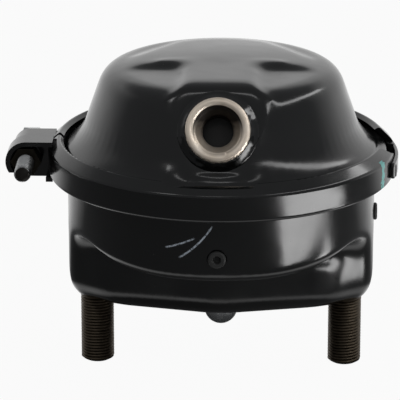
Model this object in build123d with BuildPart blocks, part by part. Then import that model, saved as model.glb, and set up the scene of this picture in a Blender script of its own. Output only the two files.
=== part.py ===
"""Air brake chamber, disc brake type: a pressed steel can that turns air pressure into push rod force.

Frame: millimetres, +Z up. The origin is the middle of the mounting face, where the can bolts to
the caliper. The push rod runs along Z, the air port looks toward -Y, the clamp bolt is at -X and
the clamp hinge at +X.
"""
import math
import os

from build123d import *

os.makedirs("parts", exist_ok=True)

# ---------------------------------------------------------------- driving dimensions
SHEET = 2.8            # pressed steel of both housings
BAND_SHEET = 2.8       # pressed steel of the clamp band
FREE_GAP = 0.3         # air between the moving assembly and what it passes

# the joint between the two housings
FLANGE_RADIUS = 79.5
LOWER_FLANGE_TOP = 67.6
BEAD_THICKNESS = 4.8   # rubber bead of the diaphragm, held between the flanges
UPPER_FLANGE_BOTTOM = LOWER_FLANGE_TOP + BEAD_THICKNESS
UPPER_FLANGE_TOP = UPPER_FLANGE_BOTTOM + SHEET
LOWER_FLANGE_BOTTOM = LOWER_FLANGE_TOP - SHEET
FLANGE_BEVEL = 0.8     # where the clamp's leg bears on the edge of the upper flange

# pressure housing, the dome with the air port
DOME_TOP = 119.0
CROWN_RADIUS = 350.0   # the raised cross follows this sphere
POCKET_LEVEL = 115.0   # flat floor of the four pressed pockets
WALL_FOOT_RADIUS = 69.3
WALL_LEAN = 19.0       # degrees off vertical
CROWN_SHOULDER = 27.0
POCKET_SHOULDER = 12.0
ARM_LEVEL = 118.8      # flat top of the cross's front arm, which carries the air port
ARM_REACH = 43.0       # from here it drops toward the port
ARM_DROP = 14.0        # degrees
NECK_FILLET = 5.0

# service housing, the can with the studs
DRUM_RADIUS = 73.8
NECK_HALF_DEPTH = 37.0     # mounting end, where its sloping walls would meet
NECK_SLOPE = 16.4          # degrees, these walls run back toward the studs
NECK_NOSE_RADIUS = 30.0
SHELF_RISE = 41.5          # where the underside of the drum meets the neck wall
SHELF_FALL = 21.0          # degrees, the underside drops outward
SHELF_FILLET = 12.0
DRUM_EDGE_RADIUS = 6.0
BASE_EDGE_RADIUS = 9.5
VENT_HEIGHT = 42.0
VENT_RADIUS = 3.4

# mounting
STUD_SPACING = 120.65
STUD_RADIUS = 8.0
STUD_REACH = 35.0
STUD_KNURL_RADIUS = 8.5    # where the stud is pressed into the sheet
SEAL_INNER = 21.0          # rubber face seal, in a groove of the mounting face
SEAL_OUTER = 26.5
SEAL_GROOVE = 1.4
SEAL_PROUD = 0.8

# push rod
ROD_RADIUS = 8.0
ROD_TIP = -16.0
PLATE_TOP = 106.5
PLATE_RADIUS = 38.5
PLATE_SHEET = 3.0
PLATE_RIM = 6.0        # rolled down short, so that it clears the can's shelf at full stroke

# what stands on the floor of the can
FLOOR_HOLE_RADIUS = 17.0
SEAT_BOTTOM = SHEET + 2.5  # on the rubber foot of the boot
SEAT_SHEET = 2.0
SPRING_RADIUS = 27.0
SPRING_WIRE = 2.25

# air port, M16 x 1.5
PORT_TILT = 25.0
PORT_BASE = Vector(0, -57.9, 98.8)   # middle of the flat pad, pressed back from the wall
PORT_BORE = 7.2
BOSS_RADIUS = 15.0
BOSS_PROUD = 7.0
BOSS_INSIDE = 6.5
PAD_FOOT = 20.6        # the pad ends this far below the port's axis
PAD_REACH = 30.0
WELD_RADIUS = 19.2

# clamp
BAND_RADIUS = 83.0
LEG_SLOPE = 42.0       # degrees, the upper leg
LOWER_LEG_SLOPE = 5.0
LEG_TIP_RADIUS = 77.6
LOWER_LEG_TIP_RADIUS = 76.0
BOLT_X = -92.9
BOLT_Z = 69.4
BOLT_RADIUS = 4.0      # M8
BOLT_END = -34.0
HEX_FLATS = 13.0
JOINT_GAP = 2.0        # half the space between the two ears
EAR_RIM = 2.2

lean = math.tan(math.radians(WALL_LEAN))
lean_cos = math.cos(math.radians(WALL_LEAN))
tilt = math.radians(PORT_TILT)
port_out = Vector(0, -math.cos(tilt), math.sin(tilt))
pad_face = Plane(origin=PORT_BASE, x_dir=(1, 0, 0), z_dir=port_out)
boss_face = pad_face.offset(BOSS_PROUD)


def save(node, name):
    """Label a finished sub-part and write its STEP file."""
    node.part.label = name
    export_step(node.part, f"parts/{name}.step")


# ---------------------------------------------------------------- pressure housing
def wall_radius(height, inset):
    """Radius of the dome's conical wall at a height, moved inward by inset."""
    return WALL_FOOT_RADIUS - lean * (height - UPPER_FLANGE_TOP) - inset / lean_cos


def crown_edge(inset):
    """Point (radius, height) where the crown's sphere would cut the conical wall."""
    centre = DOME_TOP - CROWN_RADIUS
    reach = CROWN_RADIUS - inset
    start = wall_radius(0, inset)
    half_b = start * lean + centre
    scale = 1 + lean ** 2
    height = (half_b + math.sqrt(half_b ** 2 - scale * (start ** 2 + centre ** 2 - reach ** 2))) / scale
    return wall_radius(height, inset), height


def crowned_core(inset):
    """Solid inside the dome under its crown, without the pockets."""
    edge, rim = crown_edge(inset)
    foot = UPPER_FLANGE_TOP
    with BuildPart() as core:
        with BuildSketch(Plane.XZ) as profile:
            with BuildLine():
                RadiusArc((0, DOME_TOP - inset), (edge, rim), CROWN_RADIUS - inset)
                Polyline((edge, rim), (wall_radius(foot, inset), foot), (0, foot), (0, DOME_TOP - inset))
            make_face()
            shoulder = profile.vertices().sort_by_distance((edge, rim))[0]
            fillet(shoulder, CROWN_SHOULDER - inset)
        revolve(axis=Axis.Z)
    return core.part


def flat_core(inset):
    """Solid inside the dome up to the floor of the pockets, with the flange or the flared mouth."""
    level = POCKET_LEVEL - inset
    edge = wall_radius(level, inset)
    flange = UPPER_FLANGE_TOP if inset == 0 else UPPER_FLANGE_BOTTOM
    neck = wall_radius(flange, inset)
    with BuildPart() as core:
        with BuildSketch(Plane.XZ) as profile:
            with BuildLine():
                if inset == 0:
                    Polyline(
                        (0, level), (edge, level), (neck, flange), (FLANGE_RADIUS - FLANGE_BEVEL, flange),
                        (FLANGE_RADIUS, flange - FLANGE_BEVEL * math.tan(math.radians(LEG_SLOPE))),
                        (FLANGE_RADIUS, UPPER_FLANGE_BOTTOM), (0, UPPER_FLANGE_BOTTOM), (0, level),
                    )
                else:
                    Polyline(
                        (0, level), (edge, level), (neck, flange), (neck + 8, flange),
                        (neck + 8, flange - 1), (0, flange - 1), (0, level),
                    )
            make_face()
            fillet(profile.vertices().sort_by_distance((edge, level))[0], POCKET_SHOULDER - inset)
            fillet(profile.vertices().sort_by_distance((neck, flange))[0], NECK_FILLET)
        revolve(axis=Axis.Z)
    return core.part


# right half of the raised cross, seen from above; the front arm widens to carry the port
CROSS_OUTLINE = [(0, -70), (25, -70), (25, -16), (70, -16), (70, 5), (46, 13), (25, 42), (22, 70)]
CROSS_CORNER = 2.0
CROSS_DRAFT = 55.0
CROSS_FOOT = POCKET_LEVEL - 3   # its slopes run on below the floor of the pockets


def raised_cross(inset):
    """Tapered block over the cross between the pockets."""
    with BuildPart() as block:
        with BuildSketch(Plane.XY.offset(CROSS_FOOT)) as plan:
            with BuildLine():
                Polyline(*CROSS_OUTLINE, (0, 70), (0, -70))
            make_face()
            mirror(about=Plane.YZ)
            if inset:
                offset(amount=-inset, kind=Kind.INTERSECTION)
            fillet([v for v in plan.vertices() if abs(v.X) < 50 and abs(v.Y) < 45], CROSS_CORNER)
        extrude(amount=DOME_TOP + 1 - CROSS_FOOT, taper=CROSS_DRAFT)
    return block.part


def front_arm(inset):
    """Block under the flat top of the front arm, which slopes down in front to the port's pad."""
    level = ARM_LEVEL - inset
    end = 60.0
    with BuildPart() as block:
        with BuildSketch(Plane.YZ):
            with BuildLine():
                Polyline(
                    (-5, level), (-ARM_REACH, level), (-end, level - (end - ARM_REACH) * math.tan(math.radians(ARM_DROP))),
                    (-end, 100), (-5, 100), (-5, level),
                )
            make_face()
        extrude(amount=PAD_REACH, both=True)
    return block.part


def dome_form(inset):
    """The dome's outer form, or its cavity when inset by the sheet."""
    with BuildPart() as raised:
        add(crowned_core(inset))
        add(front_arm(inset))
        add(raised_cross(inset), mode=Mode.INTERSECT)
    with BuildPart() as form:
        add(flat_core(inset))
        add(raised.part)
        # all that stands in front of the port's flat pad goes
        with BuildSketch(pad_face.offset(-inset)):
            with Locations((0, (PAD_REACH - PAD_FOOT - inset) / 2)):
                Rectangle(2 * PAD_REACH, PAD_REACH + PAD_FOOT + inset)
        extrude(amount=PAD_REACH, mode=Mode.SUBTRACT)
    return form.part


cavity = dome_form(SHEET)

with BuildPart() as pressure_housing:
    add(dome_form(0))
    add(cavity, mode=Mode.SUBTRACT)
    with BuildSketch(pad_face):
        Circle(BOSS_RADIUS)
    extrude(amount=-30, mode=Mode.SUBTRACT)
save(pressure_housing, "pressure_housing")

BOSS_COUNTERBORE = 11.4
BOSS_STEP_DEPTH = 4.0
BOSS_CONE_DEPTH = 8.2

with BuildPart() as port_boss:
    with BuildSketch(Plane(origin=boss_face.origin, x_dir=boss_face.x_dir, z_dir=boss_face.y_dir)) as profile:
        # drawn across the boss: x outward from the axis, y away from the face into the dome
        with BuildLine():
            Polyline(
                (BOSS_COUNTERBORE, 0), (BOSS_RADIUS, 0), (BOSS_RADIUS, BOSS_PROUD + BOSS_INSIDE),
                (PORT_BORE, BOSS_PROUD + BOSS_INSIDE), (PORT_BORE, BOSS_CONE_DEPTH),
                (BOSS_COUNTERBORE - 0.6, BOSS_STEP_DEPTH), (BOSS_COUNTERBORE, BOSS_STEP_DEPTH),
                (BOSS_COUNTERBORE, 0),
            )
        make_face()
        chamfer(profile.vertices().sort_by_distance((BOSS_RADIUS, 0))[0], 0.8)
    revolve(axis=Axis(boss_face.origin, boss_face.z_dir))
save(port_boss, "port_boss")

WELD_HEIGHT = 3.8
WELD_TOE = 0.5

with BuildPart() as port_weld:
    with BuildSketch(Plane(origin=PORT_BASE, x_dir=pad_face.x_dir, z_dir=-pad_face.y_dir)):
        # a fillet weld, hollow faced, on the pad and against the side of the boss
        with BuildLine():
            Polyline((WELD_RADIUS, WELD_TOE), (WELD_RADIUS, 0), (BOSS_RADIUS, 0), (BOSS_RADIUS, WELD_HEIGHT))
            RadiusArc((BOSS_RADIUS, WELD_HEIGHT), (WELD_RADIUS, WELD_TOE), -9)
        make_face()
    revolve(axis=Axis(PORT_BASE, port_out))
save(port_weld, "port_weld")


# ---------------------------------------------------------------- service housing
slope = math.radians(NECK_SLOPE)
fall = math.radians(SHELF_FALL)


def neck_cutter(inset, side):
    """What is pressed away beside the neck: its wall, the drum's underside and the hollow between."""
    reach = 84.0
    back = NECK_HALF_DEPTH - reach * math.tan(slope)
    with BuildPart() as cutter:
        with BuildLine() as path:
            FilletPolyline(
                (-reach, side * back), (0, side * NECK_HALF_DEPTH), (reach, side * back), radius=NECK_NOSE_RADIUS
            )
        start = path.line @ 0
        outward = Vector(-math.sin(slope), side * math.cos(slope), 0)
        with BuildSketch(Plane(origin=start, x_dir=outward, z_dir=outward.cross(Vector(0, 0, 1)))) as profile:
            wall = -inset
            corner = SHELF_RISE + inset * (math.tan(fall) + 1 / math.cos(fall))
            far = 50.0
            with BuildLine():
                Polyline(
                    (wall, -5), (wall, corner), (far, corner - (far + inset) * math.tan(fall)), (far, -5), (wall, -5)
                )
            make_face()
            fillet(profile.vertices().sort_by_distance((wall, corner))[0], SHELF_FILLET + inset)
        sweep(path=path.line)
    return cutter.part


def can_form(inset):
    """The can's outer form, or its cavity when inset by the sheet."""
    with BuildPart() as form:
        with BuildSketch(Plane.XY.offset(inset)):
            Circle(DRUM_RADIUS - inset)
        extrude(amount=LOWER_FLANGE_TOP - inset)
        for side in (-1, 1):
            add(neck_cutter(inset, side), mode=Mode.SUBTRACT)
        drum = DRUM_RADIUS - inset
        rim = [
            e for e in form.edges()
            if inset + 0.5 < e.center().Z < LOWER_FLANGE_TOP - 1
            and abs(math.hypot((e @ 0).X, (e @ 0).Y) - drum) < 0.01
            and abs(math.hypot((e @ 1).X, (e @ 1).Y) - drum) < 0.01
            and abs(math.hypot((e @ 0.5).X, (e @ 0.5).Y) - drum) < 0.01
        ]
        fillet(rim, DRUM_EDGE_RADIUS - inset)
        fillet(form.edges().group_by(Axis.Z)[0], BASE_EDGE_RADIUS - inset)
    return form.part


can_cavity = can_form(SHEET)


def vent_plane(turn):
    """Plane on the can's axis at vent height; its normal points to one of four sides, from +X on."""
    angle = math.radians(90 * turn)
    return Plane(origin=(0, 0, VENT_HEIGHT), x_dir=(0, 0, 1), z_dir=(math.cos(angle), math.sin(angle), 0))


with BuildPart() as service_housing:
    add(can_form(0))
    with BuildSketch(Plane.XY.offset(LOWER_FLANGE_BOTTOM)):
        Circle(FLANGE_RADIUS)
    extrude(amount=SHEET)
    neck = [e for e in service_housing.edges() if e.geom_type == GeomType.CIRCLE
            and abs(e.radius - DRUM_RADIUS) < 0.01 and abs(e.center().Z - LOWER_FLANGE_BOTTOM) < 0.01]
    fillet(neck, 3)
    add(can_cavity, mode=Mode.SUBTRACT)
    with BuildSketch(Plane.XY):
        Circle(FLOOR_HOLE_RADIUS)
        with Locations((-STUD_SPACING / 2, 0), (STUD_SPACING / 2, 0)):
            Circle(STUD_KNURL_RADIUS)
    extrude(amount=12, mode=Mode.SUBTRACT)
    with BuildSketch(Plane.XY):
        Circle(SEAL_OUTER)
        Circle(SEAL_INNER, mode=Mode.SUBTRACT)
    extrude(amount=SEAL_GROOVE, mode=Mode.SUBTRACT)
    for turn in range(4):
        with BuildSketch(vent_plane(turn).offset(DRUM_RADIUS - SHEET - 2)):
            Circle(VENT_RADIUS)
        extrude(amount=SHEET + 4, mode=Mode.SUBTRACT)
save(service_housing, "service_housing")

PLUG_HEAD_RADIUS = 4.2
PLUG_PROUD = 1.5
PLUG_DIMPLE = 2.0

# the vent at -X stays open; the other three are closed by rubber plugs
for turn, side in ((0, "right"), (1, "rear"), (3, "front")):
    with BuildPart() as vent_plug:
        with BuildSketch(vent_plane(turn).offset(DRUM_RADIUS - SHEET)):
            Circle(PLUG_HEAD_RADIUS)
        extrude(amount=SHEET + PLUG_PROUD)
        fillet(vent_plug.faces().sort_by_distance(vent_plane(turn).offset(DRUM_RADIUS + 9).origin)[0].edges(), 1.0)
        # the back of the head follows the round wall, and the shank goes through it
        with BuildSketch(Plane.XY):
            Circle(DRUM_RADIUS)
        extrude(amount=80, mode=Mode.SUBTRACT)
        with BuildSketch(vent_plane(turn).offset(DRUM_RADIUS - SHEET - 2)):
            Circle(VENT_RADIUS)
        extrude(amount=SHEET + 2)
        with BuildSketch(vent_plane(turn).offset(DRUM_RADIUS + PLUG_PROUD)):
            Circle(PLUG_DIMPLE)
        extrude(amount=-2.2, taper=18, mode=Mode.SUBTRACT)
    save(vent_plug, f"vent_plug_{side}")


# ---------------------------------------------------------------- studs
STUD_HEAD_RADIUS = 11.0
STUD_HEAD_HEIGHT = 6.0

for side, x in (("left", -STUD_SPACING / 2), ("right", STUD_SPACING / 2)):
    with BuildPart() as stud:
        with BuildSketch(Plane.XY.offset(-STUD_REACH)):
            with Locations((x, 0)):
                Circle(STUD_RADIUS)
        extrude(amount=STUD_REACH)
        tip = stud.edges().group_by(Axis.Z)[0]
        chamfer(tip, 1.2, 2.0)
        # the head is trimmed to the can's wall, which stops it turning
        with BuildSketch(Plane.XY.offset(SHEET)):
            with Locations((x, 0)):
                Circle(STUD_HEAD_RADIUS)
        head = extrude(amount=STUD_HEAD_HEIGHT, mode=Mode.PRIVATE)
        add(head & can_cavity)
        with BuildSketch(Plane.XY):
            with Locations((x, 0)):
                Circle(STUD_KNURL_RADIUS)
        extrude(amount=SHEET + STUD_HEAD_HEIGHT)
    save(stud, f"stud_{side}")


# ---------------------------------------------------------------- diaphragm
DIAPHRAGM = 3.2
DIAPHRAGM_TOP = PLATE_TOP + FREE_GAP + DIAPHRAGM

with BuildPart() as diaphragm:
    with BuildSketch(Plane.XZ) as profile:
        under = DIAPHRAGM_TOP - DIAPHRAGM
        with BuildLine():
            Polyline(
                (0, DIAPHRAGM_TOP), (42.5, DIAPHRAGM_TOP), (59.5, 75.8), (68.5, UPPER_FLANGE_BOTTOM),
                (FLANGE_RADIUS - 0.2, UPPER_FLANGE_BOTTOM), (FLANGE_RADIUS - 0.2, LOWER_FLANGE_TOP),
                (66, LOWER_FLANGE_TOP), (56.6, 73.4), (40.1, under), (0, under), (0, DIAPHRAGM_TOP),
            )
        make_face()
        fillet(profile.vertices().sort_by_distance((42.5, DIAPHRAGM_TOP))[0], 5)
        fillet(profile.vertices().sort_by_distance((40.1, under))[0], 2)
        fillet(profile.vertices().sort_by_distance((59.5, 75.8))[0], 4)
        fillet(profile.vertices().sort_by_distance((56.6, 73.4))[0], 6)
    revolve(axis=Axis.Z)
save(diaphragm, "diaphragm")


# ---------------------------------------------------------------- push rod assembly
RIVET_RADIUS = 6.0
RIVET_HEAD = 8.5
PLATE_UNDER = PLATE_TOP - PLATE_SHEET
SPIGOT_RADIUS = 23.5   # centres the top coil of the spring
SPIGOT_DEPTH = 4.0

with BuildPart() as push_plate:
    with BuildSketch(Plane.XZ) as profile:
        # a pressed dish: flat top, rolled-down rim, and a spigot turned down inside the spring
        with BuildLine():
            Polyline(
                (RIVET_RADIUS, PLATE_TOP - 2), (RIVET_HEAD, PLATE_TOP), (PLATE_RADIUS, PLATE_TOP),
                (PLATE_RADIUS, PLATE_TOP - PLATE_RIM), (PLATE_RADIUS - PLATE_SHEET, PLATE_TOP - PLATE_RIM),
                (PLATE_RADIUS - PLATE_SHEET, PLATE_UNDER), (SPIGOT_RADIUS, PLATE_UNDER),
                (SPIGOT_RADIUS, PLATE_UNDER - SPIGOT_DEPTH), (SPIGOT_RADIUS - PLATE_SHEET, PLATE_UNDER - SPIGOT_DEPTH),
                (SPIGOT_RADIUS - PLATE_SHEET, PLATE_UNDER), (RIVET_RADIUS, PLATE_UNDER), (RIVET_RADIUS, PLATE_TOP - 2),
            )
        make_face()
        fillet(profile.vertices().sort_by_distance((PLATE_RADIUS, PLATE_TOP))[0], 5)
        fillet(profile.vertices().sort_by_distance((PLATE_RADIUS - PLATE_SHEET, PLATE_UNDER))[0], 2)
    revolve(axis=Axis.Z)
save(push_plate, "push_plate")

with BuildPart() as push_rod:
    with BuildSketch(Plane.XZ):
        # spherical tip, plain shank, shoulder under the plate, end riveted over in its countersink
        with BuildLine():
            tip_centre = ROD_TIP + ROD_RADIUS
            RadiusArc((0, ROD_TIP), (ROD_RADIUS, tip_centre), -ROD_RADIUS)
            Polyline(
                (ROD_RADIUS, tip_centre), (ROD_RADIUS, PLATE_UNDER), (RIVET_RADIUS, PLATE_UNDER),
                (RIVET_RADIUS, PLATE_TOP - 2), (RIVET_HEAD, PLATE_TOP), (0, PLATE_TOP), (0, ROD_TIP),
            )
        make_face()
    revolve(axis=Axis.Z)
save(push_rod, "push_rod")


# ---------------------------------------------------------------- return spring, its seat and the boot
SEAT_INNER = 18.0
SEAT_OUTER = 31.0
SEAT_LIP = 23.5
BOOT_ROOT = 14.0
BOOT_CREST = 19.5
BOOT_WALL = 1.6
BOOT_FOLDS = 6
BOOT_TOP = 66.0
CLIP_HEIGHT = 5.0

with BuildPart() as spring_seat:
    with BuildSketch(Plane.XZ):
        # a stamped washer; its inner lip stands up inside the bottom coil
        with BuildLine():
            top = SEAT_BOTTOM + SEAT_SHEET
            Polyline(
                (SEAT_LIP - SEAT_SHEET, SEAT_BOTTOM), (SEAT_OUTER, SEAT_BOTTOM), (SEAT_OUTER, top), (SEAT_LIP, top),
                (SEAT_LIP, top + 4), (SEAT_LIP - SEAT_SHEET, top + 4), (SEAT_LIP - SEAT_SHEET, SEAT_BOTTOM),
            )
        make_face()
    revolve(axis=Axis.Z)
save(spring_seat, "spring_seat")

spring_foot = SEAT_BOTTOM + SEAT_SHEET + SPRING_WIRE
spring_head = PLATE_UNDER - FREE_GAP - SPRING_WIRE
SPRING_TURNS = 6

with BuildPart() as return_spring:
    with BuildLine(Plane.XY.offset(spring_foot)) as coil:
        Helix(pitch=(spring_head - spring_foot) / SPRING_TURNS, height=spring_head - spring_foot, radius=SPRING_RADIUS)
    with BuildSketch(Plane(origin=coil.line @ 0, z_dir=coil.line % 0)):
        Circle(SPRING_WIRE)
    sweep(path=coil.line, is_frenet=True)
save(return_spring, "return_spring")

with BuildPart() as dust_boot:
    with BuildSketch(Plane.XZ) as profile:
        # foot under the spring seat, folds up to a cuff on the rod
        foot_top = SEAT_BOTTOM
        cuff_bottom = BOOT_TOP - CLIP_HEIGHT - 2
        step = (cuff_bottom - foot_top - 2) / (2 * BOOT_FOLDS)
        outside = [(BOOT_CREST if i % 2 else BOOT_ROOT, foot_top + 2 + i * step) for i in range(2 * BOOT_FOLDS + 1)]
        inside = [(r - BOOT_WALL, z) for r, z in reversed(outside)]
        cuff = ROD_RADIUS + FREE_GAP
        with BuildLine():
            Polyline(
                (SEAT_LIP + 2.5, SHEET), (SEAT_LIP + 2.5, foot_top), (BOOT_ROOT, foot_top), *outside,
                (cuff + BOOT_WALL, cuff_bottom + 2), (cuff + BOOT_WALL, BOOT_TOP), (cuff, BOOT_TOP),
                (cuff, cuff_bottom), *inside, (BOOT_ROOT - BOOT_WALL, SHEET), (SEAT_LIP + 2.5, SHEET),
            )
        make_face()
    revolve(axis=Axis.Z)
save(dust_boot, "dust_boot")

with BuildPart() as boot_clip:
    with BuildSketch(Plane.XY.offset(BOOT_TOP - CLIP_HEIGHT)):
        clip_bore = ROD_RADIUS + FREE_GAP + BOOT_WALL + FREE_GAP
        Circle(clip_bore + 1.2)
        Circle(clip_bore, mode=Mode.SUBTRACT)
    extrude(amount=CLIP_HEIGHT - 1)
save(boot_clip, "boot_clip")


with BuildPart() as base_seal:
    with BuildSketch(Plane.XY.offset(-SEAL_PROUD)):
        Circle(SEAL_OUTER)
        Circle(SEAL_INNER, mode=Mode.SUBTRACT)
    extrude(amount=SEAL_GROOVE + SEAL_PROUD)
    fillet(base_seal.faces().sort_by(Axis.Z)[0].edges(), 0.6)
save(base_seal, "base_seal")


# ---------------------------------------------------------------- clamp band
leg = math.radians(LEG_SLOPE)
low_leg = math.radians(LOWER_LEG_SLOPE)
BAND_INNER = BAND_RADIUS - BAND_SHEET
BAND_CORNER = 2.4
LEG_TIP_CORNER = 1.2


def leg_under(radius):
    """Height of the upper leg's inner face, which bears on the bevel of the upper flange."""
    return UPPER_FLANGE_TOP + (FLANGE_RADIUS - FLANGE_BEVEL - radius) * math.tan(leg)


def leg_over(radius):
    """Height of the upper leg's outer face."""
    return leg_under(radius) + BAND_SHEET / math.cos(leg)


def low_leg_over(radius):
    """Height of the lower leg's inner face, which bears on the edge of the lower flange."""
    return LOWER_FLANGE_BOTTOM - (FLANGE_RADIUS - radius) * math.tan(low_leg)


def low_leg_under(radius):
    """Height of the lower leg's outer face."""
    return low_leg_over(radius) - BAND_SHEET / math.cos(low_leg)


def band_section():
    """Section of the clamp band: a wall with a steep upper leg and a nearly flat lower one."""
    tip_in = LEG_TIP_RADIUS - BAND_SHEET * math.sin(leg)
    with BuildSketch(Plane.XZ) as section:
        with BuildLine():
            Polyline(
                (BAND_RADIUS, low_leg_under(BAND_RADIUS)), (BAND_RADIUS, leg_over(BAND_RADIUS)),
                (LEG_TIP_RADIUS, leg_over(LEG_TIP_RADIUS)), (tip_in, leg_under(tip_in)),
                (BAND_INNER, leg_under(BAND_INNER)), (BAND_INNER, low_leg_over(BAND_INNER)),
                (LOWER_LEG_TIP_RADIUS, low_leg_over(LOWER_LEG_TIP_RADIUS)),
                (LOWER_LEG_TIP_RADIUS, low_leg_under(LOWER_LEG_TIP_RADIUS)),
                (BAND_RADIUS, low_leg_under(BAND_RADIUS)),
            )
        make_face()
        fillet(section.vertices().sort_by_distance((BAND_RADIUS, leg_over(BAND_RADIUS)))[0], BAND_CORNER)
        fillet(section.vertices().sort_by_distance((BAND_RADIUS, low_leg_under(BAND_RADIUS)))[0], BAND_CORNER)
        fillet(section.vertices().sort_by_distance((LEG_TIP_RADIUS, leg_over(LEG_TIP_RADIUS)))[0], LEG_TIP_CORNER)
    return section.sketch


FRONT_HINGE_END = 7.0  # degrees from +X where the front half's wall ends
REAR_HINGE_END = 4.0
LEG_RUN_OUT = 9.0      # degrees over which the upper leg runs out toward the hinge
EAR_START = math.degrees(math.asin(JOINT_GAP / BAND_RADIUS))
HOOK_ANGLE = 10.0      # degrees from +X of the slots that take the hinge link
HOOK_WIDTH = 4.0
HOOK_HEIGHT = 6.0
HOOK_Z = 67.6
NOTCH_CENTRE = -92.6   # degrees, the relief in the front half's upper leg, under the port
NOTCH_HALF = 17.0      # half its length along the band
NOTCH_RADIUS = 79.9    # the leg is cut back to here


def polar(radius, degrees):
    """Point in plan from a radius and an angle from +X."""
    return (radius * math.cos(math.radians(degrees)), radius * math.sin(math.radians(degrees)))


def ear_outline(near, half):
    """Round-ended outline of an ear at a value of Y, from inside the band's wall to past the bolt."""
    with BuildSketch(Plane.XZ.offset(-near)) as outline:
        with Locations((BOLT_X, BOLT_Z)):
            Circle(half)
        with Locations(((BOLT_X - BAND_INNER) / 2, BOLT_Z)):
            Rectangle(-BAND_INNER - BOLT_X, 2 * half)
    return outline.sketch


def ear(outer_face, plate_back, rim_edge, half):
    """Pressed ear: a plate with its edge turned over into a rim, holed for the clamp bolt."""
    toward_front = outer_face - rim_edge
    with BuildPart() as cup:
        extrude(ear_outline(max(outer_face, rim_edge), half), amount=abs(toward_front))
        extrude(
            ear_outline(max(plate_back, rim_edge), half - EAR_RIM), amount=abs(plate_back - rim_edge), mode=Mode.SUBTRACT
        )
        with BuildSketch(Plane.XZ.offset(20)):
            with Locations((BOLT_X, BOLT_Z)):
                Circle(BOLT_RADIUS + 0.4)
        extrude(amount=-40, mode=Mode.SUBTRACT)
        with BuildSketch(Plane.XY):
            Circle(BAND_INNER)
        extrude(amount=120, mode=Mode.SUBTRACT)
    return cup.part


def run_out(end, turn):
    """Corners in plan of what is cut off the upper leg where a half ends at the hinge."""
    inside = end + turn * LEG_RUN_OUT
    return [polar(70, inside + turn * 2), polar(76, inside), polar(81, end + turn * 4), polar(86, end), polar(70, end)]


def band_half(start, finish):
    """One half of the band between two angles from +X, still without its ear."""
    with BuildPart() as half:
        add(band_section())
        revolve(axis=Axis.Z, revolution_arc=finish - start)
    return half.part.rotate(Axis.Z, start)


FRONT_EAR_HALF = 9.8
FRONT_EAR_DEPTH = 12.0
EAR_OPEN_BELOW = 64.0
REAR_EAR_HALF = 8.0
REAR_EAR_DEPTH = 13.3

with BuildPart() as clamp_band_front:
    add(band_half(180 + EAR_START, 360 - FRONT_HINGE_END))
    # upper leg cut back under the port, its ends slanted
    with BuildSketch(Plane.XY.offset(UPPER_FLANGE_TOP - 2)):
        Circle(NOTCH_RADIUS)
        with BuildLine(Plane.XY.rotated((0, 0, NOTCH_CENTRE))):
            Polyline(
                (NOTCH_RADIUS - 8, -NOTCH_HALF - 7), (NOTCH_RADIUS + 1, -NOTCH_HALF), (NOTCH_RADIUS + 1, NOTCH_HALF),
                (NOTCH_RADIUS - 8, NOTCH_HALF + 7), (NOTCH_RADIUS - 8, -NOTCH_HALF - 7),
            )
        make_face(mode=Mode.INTERSECT)
    extrude(amount=12, mode=Mode.SUBTRACT)
    # upper leg run out toward the hinge
    with BuildSketch(Plane.XY.offset(UPPER_FLANGE_TOP - 0.8)):
        Polygon(*run_out(-FRONT_HINGE_END, -1), align=None)
    extrude(amount=12, mode=Mode.SUBTRACT)
    with BuildSketch(Plane.YZ.offset(70)):
        with Locations((-BAND_RADIUS * math.sin(math.radians(HOOK_ANGLE)), HOOK_Z)):
            Rectangle(HOOK_WIDTH, HOOK_HEIGHT)
    extrude(amount=20, mode=Mode.SUBTRACT)
    add(ear(-JOINT_GAP, -JOINT_GAP - BAND_SHEET, -JOINT_GAP - FRONT_EAR_DEPTH, FRONT_EAR_HALF))
    # the ear's rim is open below, outside the band
    with BuildSketch(Plane.XZ.offset(JOINT_GAP + BAND_SHEET)):
        with Locations((BOLT_X, EAR_OPEN_BELOW)):
            Rectangle(-2 * (BAND_RADIUS + BOLT_X) - 1, 30, align=(Align.CENTER, Align.MAX))
            Rectangle(30, 30, align=(Align.MAX, Align.MAX))
    extrude(amount=FRONT_EAR_DEPTH, mode=Mode.SUBTRACT)
save(clamp_band_front, "clamp_band_front")

with BuildPart() as clamp_band_rear:
    add(band_half(REAR_HINGE_END, 180 - EAR_START))
    with BuildSketch(Plane.XY.offset(UPPER_FLANGE_TOP - 0.8)):
        Polygon(*run_out(REAR_HINGE_END, 1), align=None)
    extrude(amount=12, mode=Mode.SUBTRACT)
    with BuildSketch(Plane.YZ.offset(70)):
        with Locations((BAND_RADIUS * math.sin(math.radians(HOOK_ANGLE)), HOOK_Z)):
            Rectangle(HOOK_WIDTH, HOOK_HEIGHT)
    extrude(amount=20, mode=Mode.SUBTRACT)
    add(ear(JOINT_GAP + REAR_EAR_DEPTH, JOINT_GAP + REAR_EAR_DEPTH - BAND_SHEET, JOINT_GAP, REAR_EAR_HALF))
save(clamp_band_rear, "clamp_band_rear")

LINK_SHEET = 1.8
LINK_HALF_ANGLE = 14.0
LINK_BOTTOM = 64.4
LINK_TOP = 72.2
FIT = 0.1

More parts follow.
